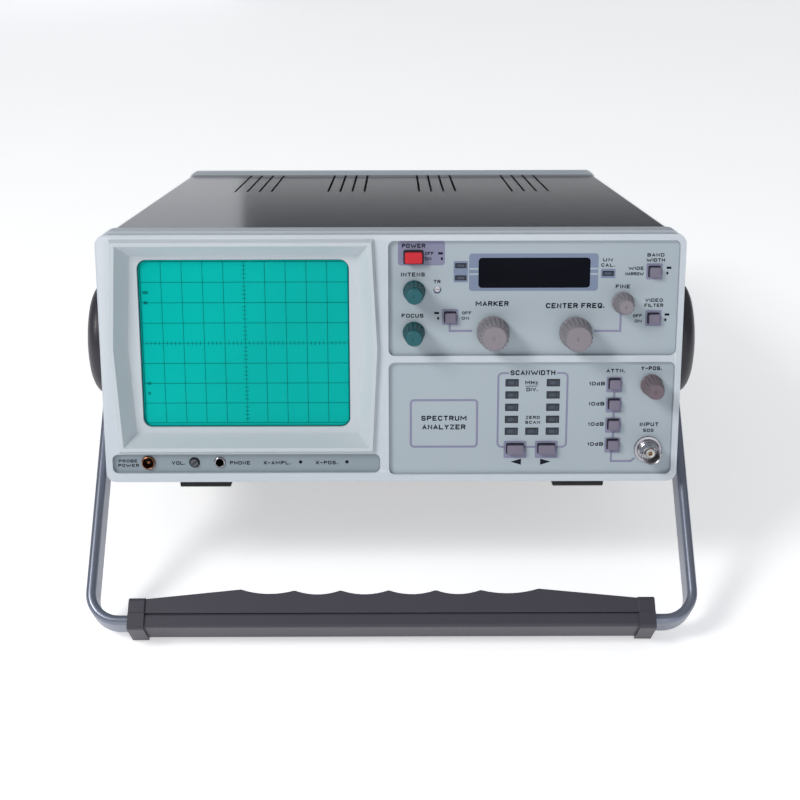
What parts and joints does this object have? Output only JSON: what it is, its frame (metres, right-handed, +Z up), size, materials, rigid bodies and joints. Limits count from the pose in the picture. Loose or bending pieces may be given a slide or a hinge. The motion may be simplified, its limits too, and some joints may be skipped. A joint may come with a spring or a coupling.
{
  "type": "spectrum analyzer",
  "caption": "Bench spectrum analyzer with a gridded tube screen, digital readout, knobs and push buttons, tilted up on its swinging carrying handle.",
  "frame": {"origin": "on the surface it stands on, under the middle of its bounding box, with the case tipped back on its handle", "axes": "+X to the right as seen from the front, +Y towards the back, +Z up"},
  "size_m": [0.317, 0.4316, 0.189],
  "materials": {
    "frame_grey": "satin light grey paint over a cast frame",
    "bezel_grey": "fine moulded texture",
    "screen_teal": "tinted filter plate with an engraved grid",
    "tube_glass": "plain glass",
    "panel_print": "satin printed panel",
    "sleeve_paint": "satin textured paint",
    "dark_window": "polished",
    "display_red": "moulded",
    "lamp_lens": "moulded lens",
    "board": "soldered board",
    "sheet_steel": "plated sheet",
    "core_iron": "varnished",
    "black_plastic": "moulded",
    "control_body": "moulded",
    "bright_metal": "nickel plated",
    "brass": "turned",
    "knob_teal": "moulded",
    "knob_grey": "moulded",
    "knob_brown": "moulded",
    "button_red": "moulded",
    "button_mauve": "moulded",
    "handle_metal": "satin anodised",
    "grip_plastic": "satin moulded",
    "hub_plastic": "satin moulded",
    "foot_rubber": "moulded"
  },
  "bodies": {
    "case": {"front_frame": "frame_grey", "screen_bezel": "bezel_grey", "screen_filter": "screen_teal", "crt_tube": "tube_glass", "crt_shield": "sheet_steel", "crt_socket": "black_plastic", "upper_panel": "panel_print", "lower_panel": "panel_print", "connector_strip": "panel_print", "display_window": "dark_window", "display_module": "display_red", "indicator_leds": "lamp_lens", "front_board": "board", "case_sleeve": "sleeve_paint", "rear_frame": "frame_grey", "rear_panel": "frame_grey", "chassis_tray": "sheet_steel", "mains_inlet": "black_plastic", "rear_feet": "black_plastic", "power_transformer": "core_iron", "power_board": "board", "main_board": "board", "tuner_box": "sheet_steel", "filter_box": "sheet_steel", "attenuator_box": "sheet_steel", "power_switch": "black_plastic", "potentiometers": "control_body", "button_switches": "black_plastic", "input_connector": "bright_metal", "headphone_socket": "black_plastic", "probe_power_socket": "brass", "pivot_studs": "bright_metal", "base_feet": "foot_rubber", "screws": "bright_metal"},
    "handle": {"handle_bar": "handle_metal", "grip_outer": "grip_plastic", "grip_inner": "grip_plastic", "handle_hubs": "hub_plastic"},
    "intensity_knob": {"intensity_knob": "knob_teal"},
    "focus_knob": {"focus_knob": "knob_teal"},
    "marker_knob": {"marker_knob": "knob_grey"},
    "frequency_knob": {"frequency_knob": "knob_grey"},
    "fine_knob": {"fine_knob": "knob_grey"},
    "y_position_knob": {"y_position_knob": "knob_brown"},
    "volume_spindle": {"volume_spindle": "knob_grey"},
    "trace_trimmer": {"trace_trimmer": "bright_metal"},
    "x_gain_trimmer": {"x_gain_trimmer": "bright_metal"},
    "x_position_trimmer": {"x_position_trimmer": "bright_metal"},
    "power_button": {"power_button": "button_red"},
    "marker_button": {"marker_button": "button_mauve"},
    "bandwidth_button": {"bandwidth_button": "button_mauve"},
    "filter_button": {"filter_button": "button_mauve"},
    "attenuator_button_1": {"attenuator_button_1": "button_mauve"},
    "attenuator_button_2": {"attenuator_button_2": "button_mauve"},
    "attenuator_button_3": {"attenuator_button_3": "button_mauve"},
    "attenuator_button_4": {"attenuator_button_4": "button_mauve"},
    "span_down_button": {"span_down_button": "button_mauve"},
    "span_up_button": {"span_up_button": "button_mauve"},
    "fuse_drawer": {"fuse_drawer": "black_plastic"}
  },
  "joints": [
    {"name": "handle_swing", "type": "hinge", "parent": "case", "child": "handle", "pos_m": [0, -0.08519, 0.11363], "axis": [1, 0, 0], "range_deg": [-198, 94]},
    {"name": "intensity_knob_turn", "type": "hinge", "parent": "case", "child": "intensity_knob", "pos_m": [0.0113, -0.14546, 0.16162], "axis": [0, 0.9833, -0.1822], "range_deg": [-140, 140]},
    {"name": "focus_knob_turn", "type": "hinge", "parent": "case", "child": "focus_knob", "pos_m": [0.0111, -0.14918, 0.14156], "axis": [0, 0.9833, -0.1822], "range_deg": [-140, 140]},
    {"name": "marker_knob_turn", "type": "hinge", "parent": "case", "child": "marker_knob", "pos_m": [0.0499, -0.14918, 0.14156], "axis": [0, 0.9833, -0.1822], "range_deg": [-140, 140]},
    {"name": "frequency_knob_turn", "type": "hinge", "parent": "case", "child": "frequency_knob", "pos_m": [0.0903, -0.14925, 0.14117], "axis": [0, 0.9833, -0.1822], "range_deg": [-1800, 1800]},
    {"name": "fine_knob_turn", "type": "hinge", "parent": "case", "child": "fine_knob", "pos_m": [0.113, -0.14653, 0.15582], "axis": [0, 0.9833, -0.1822], "range_deg": [-140, 140]},
    {"name": "y_position_knob_turn", "type": "hinge", "parent": "case", "child": "y_position_knob", "pos_m": [0.1285, -0.15404, 0.11531], "axis": [0, 0.9833, -0.1822], "range_deg": [-140, 140]},
    {"name": "volume_spindle_turn", "type": "hinge", "parent": "case", "child": "volume_spindle", "pos_m": [-0.0986, -0.16122, 0.07657], "axis": [0, 0.9833, -0.1822], "range_deg": [-140, 140]},
    {"name": "trace_trimmer_turn", "type": "hinge", "parent": "case", "child": "trace_trimmer", "pos_m": [0.0226, -0.14537, 0.16211], "axis": [0, 0.9833, -0.1822], "range_deg": [-135, 135]},
    {"name": "x_gain_trimmer_turn", "type": "hinge", "parent": "case", "child": "x_gain_trimmer", "pos_m": [-0.0455, -0.16122, 0.07657], "axis": [0, 0.9833, -0.1822], "range_deg": [-135, 135]},
    {"name": "x_position_trimmer_turn", "type": "hinge", "parent": "case", "child": "x_position_trimmer", "pos_m": [-0.0223, -0.16122, 0.07657], "axis": [0, 0.9833, -0.1822], "range_deg": [-135, 135]},
    {"name": "power_button_press", "type": "slide", "parent": "case", "child": "power_button", "axis": [0, 0.9833, -0.1822], "range_m": [0, 0.004], "stiffness_N_per_m": 300, "springref_m": -0.002},
    {"name": "marker_button_press", "type": "slide", "parent": "case", "child": "marker_button", "axis": [0, 0.9833, -0.1822], "range_m": [0, 0.0025], "stiffness_N_per_m": 300, "springref_m": -0.002},
    {"name": "bandwidth_button_press", "type": "slide", "parent": "case", "child": "bandwidth_button", "axis": [0, 0.9833, -0.1822], "range_m": [0, 0.0025], "stiffness_N_per_m": 300, "springref_m": -0.002},
    {"name": "filter_button_press", "type": "slide", "parent": "case", "child": "filter_button", "axis": [0, 0.9833, -0.1822], "range_m": [0, 0.0025], "stiffness_N_per_m": 300, "springref_m": -0.002},
    {"name": "attenuator_button_1_press", "type": "slide", "parent": "case", "child": "attenuator_button_1", "axis": [0, 0.9833, -0.1822], "range_m": [0, 0.0025], "stiffness_N_per_m": 300, "springref_m": -0.002},
    {"name": "attenuator_button_2_press", "type": "slide", "parent": "case", "child": "attenuator_button_2", "axis": [0, 0.9833, -0.1822], "range_m": [0, 0.0025], "stiffness_N_per_m": 300, "springref_m": -0.002},
    {"name": "attenuator_button_3_press", "type": "slide", "parent": "case", "child": "attenuator_button_3", "axis": [0, 0.9833, -0.1822], "range_m": [0, 0.0025], "stiffness_N_per_m": 300, "springref_m": -0.002},
    {"name": "attenuator_button_4_press", "type": "slide", "parent": "case", "child": "attenuator_button_4", "axis": [0, 0.9833, -0.1822], "range_m": [0, 0.0025], "stiffness_N_per_m": 300, "springref_m": -0.002},
    {"name": "span_down_button_press", "type": "slide", "parent": "case", "child": "span_down_button", "axis": [0, 0.9833, -0.1822], "range_m": [0, 0.0025], "stiffness_N_per_m": 300, "springref_m": -0.002},
    {"name": "span_up_button_press", "type": "slide", "parent": "case", "child": "span_up_button", "axis": [0, 0.9833, -0.1822], "range_m": [0, 0.0025], "stiffness_N_per_m": 300, "springref_m": -0.002},
    {"name": "fuse_drawer_pull", "type": "slide", "parent": "case", "child": "fuse_drawer", "axis": [0, 0.9833, -0.1822], "range_m": [0, 0.02]}
  ]
}
